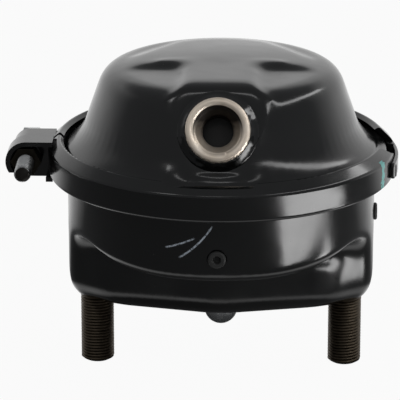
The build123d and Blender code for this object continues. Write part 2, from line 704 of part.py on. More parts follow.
with BuildPart() as clamp_hinge_link:
    with BuildSketch(Plane.XY.offset(LINK_BOTTOM)):
        Circle(BAND_RADIUS + FIT + LINK_SHEET)
        Circle(BAND_RADIUS + FIT, mode=Mode.SUBTRACT)
        Polygon((0, 0), polar(120, -LINK_HALF_ANGLE), polar(120, LINK_HALF_ANGLE), align=None, mode=Mode.INTERSECT)
    extrude(amount=LINK_TOP - LINK_BOTTOM)
    fillet(clamp_hinge_link.edges().filter_by(lambda e: abs((e % 0.5).X) > 0.9), 2)
    # the hooks pass through the slots of the band
    with BuildSketch(Plane.YZ.offset(BAND_INNER)):
        for y in (-1, 1):
            with Locations((y * BAND_RADIUS * math.sin(math.radians(HOOK_ANGLE)), HOOK_Z)):
                Rectangle(HOOK_WIDTH - 2 * FIT, HOOK_HEIGHT - 2 * FIT)
    extrude(amount=BAND_SHEET + LINK_SHEET / 2)
save(clamp_hinge_link, "clamp_hinge_link")


# ---------------------------------------------------------------- clamp bolt
WASHER = 1.6
WASHER_RADIUS = 6.5
HEAD_HEIGHT = 5.3
NUT_HEIGHT = 8.0
HEX_RADIUS = HEX_FLATS / 2 / math.cos(math.radians(30))
front_seat = -JOINT_GAP - BAND_SHEET
rear_seat = JOINT_GAP + REAR_EAR_DEPTH

with BuildPart() as clamp_bolt:
    with BuildSketch(Plane.XZ.offset(-rear_seat - WASHER)):
        with Locations((BOLT_X, BOLT_Z)):
            Circle(BOLT_RADIUS)
    extrude(amount=rear_seat + WASHER - BOLT_END)
    chamfer(clamp_bolt.edges().sort_by(Axis.Y)[0], 0.8)
    with BuildSketch(Plane.XZ.offset(-rear_seat - WASHER - HEAD_HEIGHT)):
        with Locations((BOLT_X, BOLT_Z)):
            RegularPolygon(HEX_RADIUS, 6)
    extrude(amount=HEAD_HEIGHT)
save(clamp_bolt, "clamp_bolt")

with BuildPart() as clamp_nut:
    with BuildSketch(Plane.XZ.offset(-front_seat + WASHER)):
        with Locations((BOLT_X, BOLT_Z)):
            RegularPolygon(HEX_RADIUS, 6)
            Circle(BOLT_RADIUS + FIT / 2, mode=Mode.SUBTRACT)
    extrude(amount=NUT_HEIGHT)
save(clamp_nut, "clamp_nut")

with BuildPart() as clamp_washers:
    for seat, away in ((-front_seat, 1), (-rear_seat, -1)):
        with BuildSketch(Plane.XZ.offset(seat)):
            with Locations((BOLT_X, BOLT_Z)):
                Circle(WASHER_RADIUS)
                Circle(BOLT_RADIUS + FIT, mode=Mode.SUBTRACT)
        extrude(amount=away * WASHER)
save(clamp_washers, "clamp_washers")
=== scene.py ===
# %% [markdown]
# # Air brake chamber
#
# A pressed steel can that turns air pressure into push rod force. It is nearly all gloss black
# enamel, so the eye reads its shape from reflections: round edges, long highlights and the pale
# horizon in the top of the dome matter more here than colour. The imported CAD model gives every
# size. These cells add finishes to its nodes, and model again those that need small detail:
# threads, a lumpy weld, soft pressed edges, and the rubber of the diaphragm and the boot.

import math

import bpy
from mathutils import Matrix, Vector


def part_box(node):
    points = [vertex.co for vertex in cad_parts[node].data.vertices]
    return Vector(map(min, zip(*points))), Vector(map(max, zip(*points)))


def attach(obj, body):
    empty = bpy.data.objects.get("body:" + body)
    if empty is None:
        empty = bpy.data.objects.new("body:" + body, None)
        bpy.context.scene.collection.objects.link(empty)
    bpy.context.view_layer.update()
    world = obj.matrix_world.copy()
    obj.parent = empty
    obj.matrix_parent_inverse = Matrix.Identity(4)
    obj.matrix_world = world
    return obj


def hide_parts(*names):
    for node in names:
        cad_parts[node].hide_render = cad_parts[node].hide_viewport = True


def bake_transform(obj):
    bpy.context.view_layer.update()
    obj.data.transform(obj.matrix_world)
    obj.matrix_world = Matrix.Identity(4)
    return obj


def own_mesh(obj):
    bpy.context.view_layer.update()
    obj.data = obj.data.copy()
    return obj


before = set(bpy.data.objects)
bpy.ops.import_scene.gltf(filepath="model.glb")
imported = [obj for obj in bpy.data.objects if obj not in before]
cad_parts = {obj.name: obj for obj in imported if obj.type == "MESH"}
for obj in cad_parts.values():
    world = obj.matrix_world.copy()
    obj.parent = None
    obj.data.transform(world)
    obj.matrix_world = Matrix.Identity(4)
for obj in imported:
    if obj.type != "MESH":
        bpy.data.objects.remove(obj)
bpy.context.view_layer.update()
MM = 0.001
print("frame loaded,", len(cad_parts), "nodes")

# %% [markdown]
# ## Camera
#
# The chamber is seen from a little above with a long lens, so its rings look like flat ellipses.
# The camera stands 1.5 m from the middle of the clamp ring and aims left of it and below it.

# %% Place the camera
RING_CENTRE = Vector((0, 0, 0.068))
ELEVATION = math.radians(17.3)
AZIMUTH = math.radians(1.5)
DISTANCE = 1.5
PICTURE = 400             # pixels wide and high
FOCAL_PIXELS = 3120       # focal length in those pixels
RING_AT = (221.1, 158.0)  # pixel where the ring's centre shows, from the top left corner

toward_camera = Vector((
    math.sin(AZIMUTH) * math.cos(ELEVATION),
    -math.cos(AZIMUTH) * math.cos(ELEVATION),
    math.sin(ELEVATION),
))
right = Vector((math.cos(AZIMUTH), math.sin(AZIMUTH), 0))
up = toward_camera.cross(right)
metres_per_pixel = DISTANCE / FOCAL_PIXELS
aim_right = (PICTURE / 2 - RING_AT[0]) * metres_per_pixel
aim_down = (PICTURE / 2 - RING_AT[1]) * metres_per_pixel
aim = RING_CENTRE + aim_right * right - aim_down * up

bpy.ops.object.select_all(action="DESELECT")
bpy.ops.object.camera_add(location=RING_CENTRE + DISTANCE * toward_camera)
camera = bpy.context.object
camera.rotation_euler = (aim - camera.location).to_track_quat("-Z", "Y").to_euler()
camera.data.lens = FOCAL_PIXELS / PICTURE * camera.data.sensor_width
camera.data.clip_end = 50
bpy.context.scene.camera = camera
print("lens", round(camera.data.lens), "mm, aimed at", tuple(round(c, 4) for c in aim))

# %% [markdown]
# ## Nodes for materials
#
# Colours are written as sRGB hex, the way a colour picker shows them, and turned to linear light
# here. One small function adds a node: its keyword settings are the node's own properties, and
# `inputs` maps each socket to a value or to the output that feeds it.

# %% Colour and node helpers
def linear(hex_colour):
    """sRGB hex colour as linear RGBA."""
    channels = [int(hex_colour[i:i + 2], 16) / 255 for i in (1, 3, 5)]
    return [c / 12.92 if c <= 0.04045 else ((c + 0.055) / 1.055) ** 2.4 for c in channels] + [1]


def add_node(tree, kind, inputs=None, **settings):
    """Add a node with its settings; inputs holds values, or outputs of other nodes to link."""
    node = tree.nodes.new("ShaderNode" + kind)
    for name, value in settings.items():
        setattr(node, name, value)
    for socket, value in (inputs or {}).items():
        if isinstance(value, bpy.types.NodeSocket):
            tree.links.new(value, node.inputs[socket])
        else:
            node.inputs[socket].default_value = value
    return node


def new_finish(name):
    """An empty material: its node tree, and the Object coordinates of the piece, in metres."""
    finish = bpy.data.materials.new(name)
    finish.use_nodes = True
    finish.node_tree.nodes.clear()
    place = add_node(finish.node_tree, "TexCoord").outputs["Object"]
    return finish, finish.node_tree, place


def use_shader(tree, shader):
    """Connect a shader node to the material's surface."""
    add_node(tree, "OutputMaterial", {"Surface": shader.outputs[0]})


def per_size(millimetres):
    """Texture scale that gives a pattern of this size, on coordinates in metres."""
    return 1 / (millimetres * MM)


NOISE_RANGE = {"From Min": 0.3, "From Max": 0.7}   # a noise seldom leaves this range
print("white is", linear("#ffffff"), "and a 2 mm pattern has scale", per_size(2))

# %% [markdown]
# ## Black enamel
#
# The housings and the clamp are dipped or sprayed with gloss black enamel. Its own colour is
# nearly black, and what shows is its clear reflection, broken a little by orange peel: waves
# about 3 mm long and a few thousandths of a millimetre high. The sheet below has longer waves
# from the press, about 16 mm. Dust leaves small pale specks. One function makes every black
# skin, and the can and the front clamp half add their own marks to it.

# %% Gloss black enamel
CLOUDS = 22              # mm, patches in which the gloss changes a little
ORANGE_PEEL = 3.2        # mm from wave to wave
PRESS_WAVES = 16         # mm from wave to wave
DUST = 7                 # mm between specks
GLOSS = (0.12, 0.22)     # least and most roughness


def black_enamel(name, marks=None):
    """Gloss black enamel with orange peel and dust; marks adds paint lines or scratches."""
    finish, tree, place = new_finish(name)
    clouds = add_node(tree, "TexNoise", {"Vector": place, "Scale": per_size(CLOUDS), "Detail": 3})
    gloss = add_node(tree, "MapRange", {
        "Value": clouds.outputs["Fac"], **NOISE_RANGE, "To Min": GLOSS[0], "To Max": GLOSS[1],
    })
    peel_waves = add_node(tree, "TexNoise", {
        "Vector": place, "Scale": per_size(ORANGE_PEEL), "Detail": 1,
    })
    bump = add_node(tree, "Bump", {
        "Height": peel_waves.outputs["Fac"], "Strength": 0.05, "Distance": 0.1 * MM,
    })
    sheet_waves = add_node(tree, "TexNoise", {
        "Vector": place, "Scale": per_size(PRESS_WAVES), "Detail": 1,
    })
    bump = add_node(tree, "Bump", {
        "Height": sheet_waves.outputs["Fac"], "Strength": 0.5, "Distance": 0.25 * MM,
        "Normal": bump.outputs[0],
    })
    dust = add_node(tree, "TexVoronoi", {"Vector": place, "Scale": per_size(DUST)}, feature="F1")
    speck = add_node(tree, "MapRange", {
        "Value": dust.outputs["Distance"], "From Min": 0.035, "From Max": 0.02,
        "To Min": 0, "To Max": 0.35,
    })
    colour = add_node(tree, "Mix", {
        "Factor": speck.outputs[0], "A": linear("#0b0c0c"), "B": linear("#6d6c68"),
    }, data_type="RGBA").outputs["Result"]
    if marks:
        colour = marks(tree, place, colour)
    shader = add_node(tree, "BsdfPrincipled", {
        "Base Color": colour, "Roughness": gloss.outputs[0], "IOR": 1.52, "Normal": bump.outputs[0],
    })
    use_shader(tree, shader)
    return finish


# gloss black enamel, sprayed: reads as a dark mirror with soft, slightly broken highlights
enamel = black_enamel("gloss_black_enamel")
print("made", enamel.name)

# %% [markdown]
# ## Scratches on the can
#
# The can has two long curved scratches from handling, where the grey primer shows. They are too
# shallow to change the shape, so they are colour only. A painted image would need the can
# unwrapped. Here a scratch is the set of points near an arc through three given points, and a
# fine noise breaks it up, as a dragged edge skips over the paint.

# %% Handling scratches
SCRATCHES = (             # start, middle and end of each, as x and z in metres
    ((-0.0241, 0.0464), (-0.0170, 0.0488), (-0.0101, 0.0520)),
    ((-0.0178, 0.0419), (-0.0101, 0.0479), (-0.0020, 0.0582)),
)
SCRATCH_WIDTH = 0.55 * MM
SKIPS = 1.2               # mm, length of the breaks in a scratch
PRIMER = "#b9c2cc"
FRONT_OF_CAN = -0.030     # the scratches lie only in front of this y


def scratch(tree, place, start, middle, end, width):
    """1 along a scratch, an arc through three points of the front, each (x, z) in metres."""
    (ax, az), (bx, bz), (cx, cz) = start, middle, end
    twice = 2 * (ax * (bz - cz) + bx * (cz - az) + cx * (az - bz))
    sums = [x * x + z * z for x, z in (start, middle, end)]
    centre_x = (sums[0] * (bz - cz) + sums[1] * (cz - az) + sums[2] * (az - bz)) / twice
    centre_z = (sums[0] * (cx - bx) + sums[1] * (ax - cx) + sums[2] * (bx - ax)) / twice
    radius = math.hypot(ax - centre_x, az - centre_z)
    axes = add_node(tree, "SeparateXYZ", {0: place})
    flat = add_node(tree, "CombineXYZ", {"X": axes.outputs["X"], "Z": axes.outputs["Z"]})
    away = add_node(tree, "VectorMath", {
        0: flat.outputs[0], 1: (centre_x, 0, centre_z),
    }, operation="DISTANCE").outputs["Value"]
    off_arc = add_node(tree, "Math", {0: away, 1: radius}, operation="SUBTRACT")
    line = add_node(tree, "MapRange", {
        "Value": add_node(tree, "Math", {0: off_arc.outputs[0]}, operation="ABSOLUTE").outputs[0],
        "From Min": width, "From Max": 0.4 * width,
    })
    half_length = math.dist(start, end) / 2
    span = add_node(tree, "VectorMath", {
        0: flat.outputs[0], 1: ((ax + cx) / 2, 0, (az + cz) / 2),
    }, operation="DISTANCE").outputs["Value"]
    ends = add_node(tree, "MapRange", {
        "Value": span, "From Min": half_length, "From Max": 0.85 * half_length,
    })
    front = add_node(tree, "Math", {0: axes.outputs["Y"], 1: FRONT_OF_CAN}, operation="LESS_THAN")
    breaks = add_node(tree, "TexNoise", {"Vector": place, "Scale": per_size(SKIPS), "Detail": 2})
    kept = add_node(tree, "MapRange", {
        "Value": breaks.outputs["Fac"], "From Min": 0.36, "From Max": 0.5, "To Min": 0.25,
    })
    result = line.outputs[0]
    for factor in (ends.outputs[0], front.outputs[0], kept.outputs[0]):
        result = add_node(tree, "Math", {0: result, 1: factor}, operation="MULTIPLY").outputs[0]
    return result


def handling_scratches(tree, place, colour):
    """Two pale curved scratches on the front of the can, from handling."""
    for start, middle, end in SCRATCHES:
        mark = scratch(tree, place, start, middle, end, SCRATCH_WIDTH)
        colour = add_node(tree, "Mix", {
            "Factor": mark, "A": colour, "B": linear(PRIMER),
        }, data_type="RGBA").outputs["Result"]
    return colour


can_enamel = black_enamel("scratched_black_enamel", marks=handling_scratches)
print("made", can_enamel.name)

# %% [markdown]
# ## Check mark on the clamp
#
# A teal line is brushed down the clamp ring to say that its bolt was tightened. It is paint on
# paint, with no thickness that the eye can see, so it is colour only too: the points near one
# angle round the ring. The noise of the bristles makes its two edges uneven.

# %% Check mark
STRIPE_ANGLE = 68.3      # degrees from the front toward the right
STRIPE_WIDTH = 2.6       # degrees
BRISTLES = 1.5           # mm, unevenness of the stripe's edges
RING_WALL_TOP = 0.0765   # the line ends where the ring's upper leg begins


def paint_check_mark(tree, place, colour):
    """A brushed teal line down the ring's wall, which says that the clamp was tightened."""
    axes = add_node(tree, "SeparateXYZ", {0: place})
    front = add_node(tree, "Math", {0: axes.outputs["Y"], 1: -1}, operation="MULTIPLY")
    angle = add_node(tree, "Math", {0: axes.outputs["X"], 1: front.outputs[0]}, operation="ARCTAN2")
    off_line = add_node(tree, "Math", {
        0: angle.outputs[0], 1: math.radians(STRIPE_ANGLE),
    }, operation="SUBTRACT")
    off_line = add_node(tree, "Math", {0: off_line.outputs[0]}, operation="ABSOLUTE")
    bristles = add_node(tree, "TexNoise", {
        "Vector": place, "Scale": per_size(BRISTLES), "Detail": 2,
    })
    half = add_node(tree, "Math", {
        0: bristles.outputs["Fac"], 1: math.radians(STRIPE_WIDTH),
    }, operation="MULTIPLY")
    stripe = add_node(tree, "Math", {
        0: off_line.outputs[0], 1: half.outputs[0],
    }, operation="LESS_THAN")
    on_wall = add_node(tree, "Math", {
        0: axes.outputs["Z"], 1: RING_WALL_TOP,
    }, operation="LESS_THAN")
    mark = add_node(tree, "Math", {
        0: stripe.outputs[0], 1: on_wall.outputs[0],
    }, operation="MULTIPLY")
    return add_node(tree, "Mix", {
        "Factor": mark.outputs[0], "A": colour, "B": linear("#3f8f8a"),
    }, data_type="RGBA").outputs["Result"]


band_enamel = black_enamel("black_enamel_with_check_mark", marks=paint_check_mark)
print("made", band_enamel.name)

# %% [markdown]
# ## Turned steel
#
# The boss of the air port is masked while the dome is painted, so its face stays bare. It was
# turned on a lathe: fine rings run round its axis, and they spread each highlight sideways. The
# upper half of the recess and the bore behind it are drawn dark: painted shade, where the hollow
# lies in shade. The rings follow a coordinate that is turned into the port's axis.

# %% Turned steel of the air port
PORT_TILT = math.radians(25)        # above level
PORT_AXIS = Vector((0, -math.cos(PORT_TILT), math.sin(PORT_TILT)))
PORT_SEAT = Vector((0, -0.0579, 0.0988))     # the port's face stands 7 mm out from here
PORT_FACE = PORT_SEAT + 7 * MM * PORT_AXIS
TOOL_RINGS = 1.38                   # mm between rings, drawn coarser than real ones to show
WAVE_PERIOD = math.tau / 20         # distance between the rings of a Wave texture of scale 1
STAINS = 6                          # mm
RECESS = (-0.5 * MM, -1.0 * MM)     # depths between which the face turns into the recess
BORE = (-8.4 * MM, -9.0 * MM)       # depths between which the recess turns into the bore
LOWER_TO_UPPER = (-5 * MM, 5 * MM)  # across the recess, where the painted shade fades in


def turned_steel(name):
    """Bare steel turned on a lathe: fine rings round the port's axis, painted shade in the hollow.
    """
    finish, tree, place = new_finish(name)
    local = add_node(tree, "Mapping", {
        "Vector": place, "Location": PORT_FACE,
        "Rotation": PORT_AXIS.to_track_quat("Z", "Y").to_euler(),
    }, vector_type="TEXTURE")
    rings = add_node(tree, "TexWave", {
        "Vector": local.outputs[0], "Scale": per_size(TOOL_RINGS) * WAVE_PERIOD,
        "Distortion": 0.4, "Detail": 2,
    }, wave_type="RINGS", rings_direction="Z")
    bump = add_node(tree, "Bump", {
        "Height": rings.outputs["Fac"], "Strength": 0.15, "Distance": 0.05 * MM,
    })
    stain = add_node(tree, "TexNoise", {"Vector": place, "Scale": per_size(STAINS), "Detail": 4})
    bare = add_node(tree, "Mix", {
        "Factor": stain.outputs["Fac"], "A": linear("#fbf0e2"), "B": linear("#d8c8b4"),
    }, data_type="RGBA").outputs["Result"]
    inside = add_node(tree, "SeparateXYZ", {0: local.outputs[0]})
    recessed = add_node(tree, "MapRange", {
        "Value": inside.outputs["Z"], "From Min": RECESS[0], "From Max": RECESS[1],
    })
    upper = add_node(tree, "MapRange", {
        "Value": inside.outputs["Y"], "From Min": LOWER_TO_UPPER[0], "From Max": LOWER_TO_UPPER[1],
    })
    in_bore = add_node(tree, "MapRange", {
        "Value": inside.outputs["Z"], "From Min": BORE[0], "From Max": BORE[1],
    })
    # painted shade: the upper half of the recess and the bore are drawn dark
    painted_shade_upper = add_node(tree, "Math", {
        0: recessed.outputs[0], 1: upper.outputs[0],
    }, operation="MULTIPLY")
    painted_shade = add_node(tree, "Math", {
        0: painted_shade_upper.outputs[0], 1: in_bore.outputs[0],
    }, operation="MAXIMUM")
    colour = add_node(tree, "Mix", {
        "Factor": painted_shade.outputs[0], "A": bare, "B": linear("#2a2623"),
    }, data_type="RGBA").outputs["Result"]
    shader = add_node(tree, "BsdfPrincipled", {
        "Base Color": colour, "Metallic": 0.8, "Roughness": 0.45, "Normal": bump.outputs[0],
    })
    use_shader(tree, shader)
    return finish


# bare turned steel: the one bright spot on a black part, warm grey with a soft sheen
steel = turned_steel("turned_bare_steel")
print("made", steel.name, "round the axis", tuple(round(c, 3) for c in PORT_AXIS))

# %% [markdown]
# ## Plated metals
#
# Zinc plate is bright and slightly blue. Black phosphate, an acid etch soaked with oil, is dull
# and brown. Spring wire has a thin dark coat. All three grow as crystals or pool as they dry, so
# colour and gloss vary together in patches of a few millimetres, and one function makes them
# all. The bolt's end face is drawn dark: painted shade on the face that turns away from the light.

# %% Plated metals
SHADED_END = -33.7 * MM    # beyond this the bolt's end face begins


def mottled_metal(name, light, dark, patch, roughness, shaded_end=None):
    """Metal with a finish that varies in patches of this size in mm; painted shade beyond y =
    shaded_end.
    """
    finish, tree, place = new_finish(name)
    patches = add_node(tree, "TexNoise", {"Vector": place, "Scale": per_size(patch), "Detail": 5})
    colour = add_node(tree, "Mix", {
        "Factor": patches.outputs["Fac"], "A": linear(dark), "B": linear(light),
    }, data_type="RGBA").outputs["Result"]
    if shaded_end is not None:
        # painted shade: the bolt's end face, beyond this y, is drawn dark
        depth = add_node(tree, "SeparateXYZ", {0: place}).outputs["Y"]
        beyond = add_node(tree, "Math", {0: depth, 1: shaded_end}, operation="LESS_THAN")
        colour = add_node(tree, "Mix", {
            "Factor": beyond.outputs[0], "A": colour, "B": linear("#3a3836"),
        }, data_type="RGBA").outputs["Result"]
    rough = add_node(tree, "MapRange", {
        "Value": patches.outputs["Fac"], **NOISE_RANGE,
        "To Min": roughness[0], "To Max": roughness[1],
    })
    shader = add_node(tree, "BsdfPrincipled", {
        "Base Color": colour, "Metallic": 1.0, "Roughness": rough.outputs[0],
    })
    use_shader(tree, shader)
    return finish


# bright zinc plate: cool, mirrors its surroundings softly
zinc = mottled_metal("bright_zinc_plate", "#d4d6d6", "#a9acae", 3, (0.18, 0.34))
# the same plate on bolt and washers, a little paler and duller from handling; painted shade on its
# end
bolt_zinc = mottled_metal(
    "zinc_with_shaded_end", "#e2e3e2", "#b4b6b7", 3, (0.22, 0.38), shaded_end=SHADED_END
)
# oiled phosphate: brown-black and dull, so the threads read as fine lines
phosphate = mottled_metal("oiled_black_phosphate", "#5d5346", "#332e27", 2.5, (0.35, 0.55))
# the nut's phosphate: nearly black, with just enough sheen to tell its flats apart
dark_phosphate = mottled_metal("dark_phosphate", "#35322c", "#1d1b18", 2.5, (0.35, 0.55))
# coated spring steel: dark grey with a broad highlight along the wire
wire = mottled_metal("dark_coated_spring_steel", "#3a3d40", "#202224", 5, (0.3, 0.45))
print("made", zinc.name, phosphate.name, wire.name)

# %% [markdown]
# ## Moulded rubber
#
# The plugs, the boot, the seal and the diaphragm are moulded black rubber. Beside the enamel it
# looks dull, because the mould is blasted and a waxy bloom comes to the surface in cloudy
# patches. A fine bump and a high roughness spread the highlights, and a slow noise lays the
# bloom over it.

# %% Moulded rubber
GRAIN = 0.8              # mm, skin of the blasted mould, drawn coarser than real so that it shows
BLOOM = 9                # mm


def matt_rubber(name):
    """Black rubber: dull, with a slightly powdery skin."""
    finish, tree, place = new_finish(name)
    grain = add_node(tree, "TexNoise", {"Vector": place, "Scale": per_size(GRAIN), "Detail": 3})
    bump = add_node(tree, "Bump", {
        "Height": grain.outputs["Fac"], "Strength": 0.2, "Distance": 0.05 * MM,
    })
    bloom = add_node(tree, "TexNoise", {"Vector": place, "Scale": per_size(BLOOM), "Detail": 3})
    colour = add_node(tree, "Mix", {
        "Factor": bloom.outputs["Fac"], "A": linear("#121212"), "B": linear("#2b2b2a"),
    }, data_type="RGBA").outputs["Result"]
    shader = add_node(tree, "BsdfPrincipled", {
        "Base Color": colour, "Roughness": 0.62, "Normal": bump.outputs[0],
    })
    use_shader(tree, shader)
    return finish


# moulded black rubber: swallows the light that the enamel beside it mirrors
rubber = matt_rubber("black_rubber")
print("made", rubber.name)

# %% [markdown]
# ## Tools for modelling
#
# A CAD node's mesh is loose triangles, so a copy of it is merged before anything else is done to
# it. The copy then takes the node's place in the render and, the diaphragm aside, rides on the
# chamber's body. Each shape below comes from modifiers that are applied at once, so that the next
# step can work on the result.

# %% Modelling helpers
def deselect():
    """Nothing selected, no piece in edit mode."""
    if bpy.context.object and bpy.context.object.mode != "OBJECT":
        bpy.ops.object.mode_set(mode="OBJECT")
    bpy.ops.object.select_all(action="DESELECT")


def make_active(piece):
    """Only this piece selected and active."""
    deselect()
    piece.select_set(True)
    bpy.context.view_layer.objects.active = piece


def copy_of(node_name, name):
    """A merged, editable copy of a CAD node at the same place."""
    piece = bpy.data.objects.new(name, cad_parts[node_name].data.copy())
    bpy.context.collection.objects.link(piece)
    make_active(piece)
    bpy.ops.object.mode_set(mode="EDIT")
    bpy.ops.mesh.select_all(action="SELECT")
    bpy.ops.mesh.remove_doubles(threshold=0.002 * MM)
    bpy.ops.object.mode_set(mode="OBJECT")
    return piece


def modify(piece, kind, **settings):
    """Add a modifier with its settings and apply it."""
    make_active(piece)
    modifier = piece.modifiers.new(kind.lower(), kind)
    for name, value in settings.items():
        setattr(modifier, name, value)
    bpy.ops.object.modifier_apply(modifier=modifier.name)


def set_finish(piece, finish):
    """Give a piece one finish all over."""
    piece.data.materials.clear()
    piece.data.materials.append(finish)
    print(piece.name, "has", len(piece.data.polygons), "faces in", finish.name)


def finish_piece(piece, body, finish, node_name):
    """Finish, body and the CAD node that a piece stands for."""
    set_finish(piece, finish)
    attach(piece, body)
    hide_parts(node_name)


# %% [markdown]
# ## The dome
#
# The dome is drawn from one sheet, so every pressed step in it is round: the metal can't follow a
# sharp corner of the die. The CAD steps are sharp. A bevel can't round edges that run into each
# other at such flat angles, so the copy is rebuilt from small voxels and smoothed, which rounds
# each step by a few millimetres, as the press does. Only the crown is smoothed fully. The flange
# below keeps its edge, because the clamp bears on it. The halves of the clamp ring, the nut and
# the plugs are crisper, so for them a plain bevel does well. It comes after the CAD triangles are
# dissolved into flat faces.

# %% Rounding helpers
def limited(share):
    """A share kept between 0 and 1."""
    return min(1.0, max(0.0, share))


def softened(node_name, name, voxel, passes):
    """A copy of a CAD node, rebuilt from voxels of this size and smoothed this many times."""
    piece = copy_of(node_name, name)
    modify(piece, "REMESH", mode="VOXEL", voxel_size=voxel, adaptivity=0)
    modify(piece, "SMOOTH", factor=0.5, iterations=passes)
    make_active(piece)
    bpy.ops.object.shade_smooth()
    return piece


def soften_where(piece, passes, share):
    """Smooth a piece more where share(point), from 0 to 1, says so."""
    soft = piece.vertex_groups.new(name="soft")
    for vertex in piece.data.vertices:
        soft.add([vertex.index], limited(share(vertex.co)), "REPLACE")
    modify(piece, "SMOOTH", factor=0.5, iterations=passes, vertex_group="soft")


def with_round_edges(node_name, name, width, segments, angle):
    """A copy of a CAD node whose edges sharper than this angle are rounded."""
    piece = copy_of(node_name, name)
    modify(piece, "DECIMATE", decimate_type="DISSOLVE", angle_limit=math.radians(1))
    modify(
        piece, "BEVEL", width=width, segments=segments, limit_method="ANGLE",
        angle_limit=math.radians(angle), use_clamp_overlap=True,
    )
    make_active(piece)
    bpy.ops.object.shade_smooth_by_angle(angle=math.radians(angle))
    modify(piece, "WEIGHTED_NORMAL", weight=100, keep_sharp=True)
    return piece


# %% [markdown]
# ## The foot of the dome
#
# Near the flange the wall of the dome flares out by up to 4.5 mm, where the sheet begins to turn
# into the flange. Under the port a flat facet stays as it is. The flare grows with the square of
# the way down, so that it leaves the wall without an edge.

# %% Dome with rounded pressings
CROWN_FROM = 0.090       # the pressings are rounded above this height
CROWN_FADE = 0.010
POCKETS_FROM = 0.109     # the pockets and the cross are rounded more
POCKETS_FADE = 3 * MM
FLARE_FROM = 0.0875      # the wall flares out below this height
FLARE_HEIGHT = 0.011
FLARE = 4.5 * MM
FACET = 12               # degrees each side of the port that stay as they are
FACET_FADE = 8
FLANGE_AT = 0.0775       # radius at which the flare has faded out
FLANGE_FADE = 8 * MM

dome = softened("pressure_housing", "dome_pressing", 1.0 * MM, 3)
soften_where(dome, 24, lambda point: (point.z - CROWN_FROM) / CROWN_FADE)
soften_where(dome, 30, lambda point: (point.z - POCKETS_FROM) / POCKETS_FADE)
for vertex in dome.data.vertices:
    point = vertex.co
    radius = math.hypot(point.x, point.y)
    off_port = abs(math.degrees(math.atan2(point.x, -point.y)))
    low = limited((FLARE_FROM - point.z) / FLARE_HEIGHT)
    beside_port = limited((off_port - FACET) / FACET_FADE)
    off_flange = limited((FLANGE_AT - radius) / FLANGE_FADE)
    spread = 1 + FLARE * low ** 2 * beside_port * off_flange / max(radius, 1 * MM)
    point.x *= spread
    point.y *= spread
finish_piece(dome, "chamber", enamel, "pressure_housing")

# %% [markdown]
# ## The can
#
# The can is pressed in the same way. Its neck bulges a little between the studs, so the flat
# walls of the plain model are pushed out, by 3 mm in the middle and by nearly 6 mm where the
# round noses at the two ends begin. Every push fades in and out smoothly, because gloss black
# shows each kink.

# %% Can with bulging neck
NECK_TOP = 0.036         # the neck's walls end here, under the drum
NECK_END = 0.0742        # half the neck's length
NOSE_FROM = 0.045        # from here on the neck's ends are round
NECK_BULGE = 3.0 * MM    # at the middle of a wall
BULGE_DOUBLES = 0.050    # and twice that this far along it
BULGE_TOP = NECK_TOP + 0.008
BULGE_FADE = 0.024       # height over which the bulge fades in
NECK_MIDDLE = 0.009      # nearer than this to the middle plane nothing moves
DRUM_INSIDE = 0.070      # nor farther out than this
SIDE_FADE = 0.010


def ease(share):
    """A smooth step: 0 below 0, 1 above 1."""
    share = limited(share)
    return share * share * (3 - 2 * share)


can = softened("service_housing", "can_pressing", 1.1 * MM, 4)
for vertex in can.data.vertices:
    point = vertex.co
    out = NECK_BULGE * (1 + min(abs(point.x), NOSE_FROM) / BULGE_DOUBLES)
    into_nose = limited((abs(point.x) - NOSE_FROM) / (NECK_END - NOSE_FROM))
    along = math.sqrt(1 - into_nose ** 2)
    height = ease((BULGE_TOP - point.z) / BULGE_FADE)
    across = ease((abs(point.y) - NECK_MIDDLE) / SIDE_FADE)
    inside_drum = ease((DRUM_INSIDE - math.hypot(point.x, point.y)) / SIDE_FADE)
    point.y += math.copysign(out * along * height * across * inside_drum, point.y)
most = NECK_BULGE * (1 + NOSE_FROM / BULGE_DOUBLES)
print("pushed the neck out by up to", round(most / MM, 1), "mm")

# %% [markdown]
# ## The turns of the can
#
# The sheet turns in gently at the two ends of the neck, round the base below the studs and under
# the drum. Those turns get extra smoothing, which pulls them rounder. Each place to smooth is a
# function of the point: a share that falls from 1 on the turn to 0 on the flat stretches, where
# the studs stand and the plugs sit.

# %% Round turns
STUD_X = 60.325 * MM     # each stud's distance from the middle
STUD_CLEAR = 0.0115      # round each stud hole the base stays flat
BASE_TURN = 0.004        # the base's round edge is below this height
ENDS_FROM = 0.052        # the turns at the neck's ends begin here
EDGE_FROM = 0.056        # radius from which the sheet turns into the drum's wall
EDGE_HEIGHTS = (0.020, 0.044)


def neck_turns(point):
    """1 on the turns at both ends of the neck and round the base there, 0 on flat stretches."""
    below = (NECK_TOP - point.z) / (8 * MM)
    at_end = (abs(point.x) - ENDS_FROM) / (8 * MM)
    off_stud = (math.hypot(abs(point.x) - STUD_X, point.y) - STUD_CLEAR) / (2 * MM)
    return min(below, at_end, max(off_stud, (point.z - BASE_TURN) / (2 * MM)))


def drum_turn(point):
    """1 on the drum's lower edge."""
    outside = (math.hypot(point.x, point.y) - EDGE_FROM) / (6 * MM)
    below = (EDGE_HEIGHTS[1] - point.z) / (5 * MM)
    above = (point.z - EDGE_HEIGHTS[0]) / (5 * MM)
    return min(outside, below, above)


soften_where(can, 60, neck_turns)
soften_where(can, 80, drum_turn)
finish_piece(can, "chamber", can_enamel, "service_housing")

# %% [markdown]
# ## The clamp
#
# Each half of the clamp ring is one pressing. It is cut out after it is bent, so the edges of its
# legs and of the notch below the port stay crisp: only wear and paint round them, by about half
# a millimetre. The hooked link between the halves is bent from strip, which rounds it more, and
# its hooks run into each other at odd angles, so it is remeshed like the dome.

# %% Clamp halves and hinge link
for half, skin in (("front", band_enamel), ("rear", enamel)):
    band = with_round_edges(
        f"clamp_band_{half}", f"{half}_clamp_half", width=0.6 * MM, segments=2, angle=35
    )
    finish_piece(band, "chamber", skin, f"clamp_band_{half}")
link = softened("clamp_hinge_link", "hooked_hinge_link", 0.4 * MM, 3)
finish_piece(link, "chamber", enamel, "clamp_hinge_link")

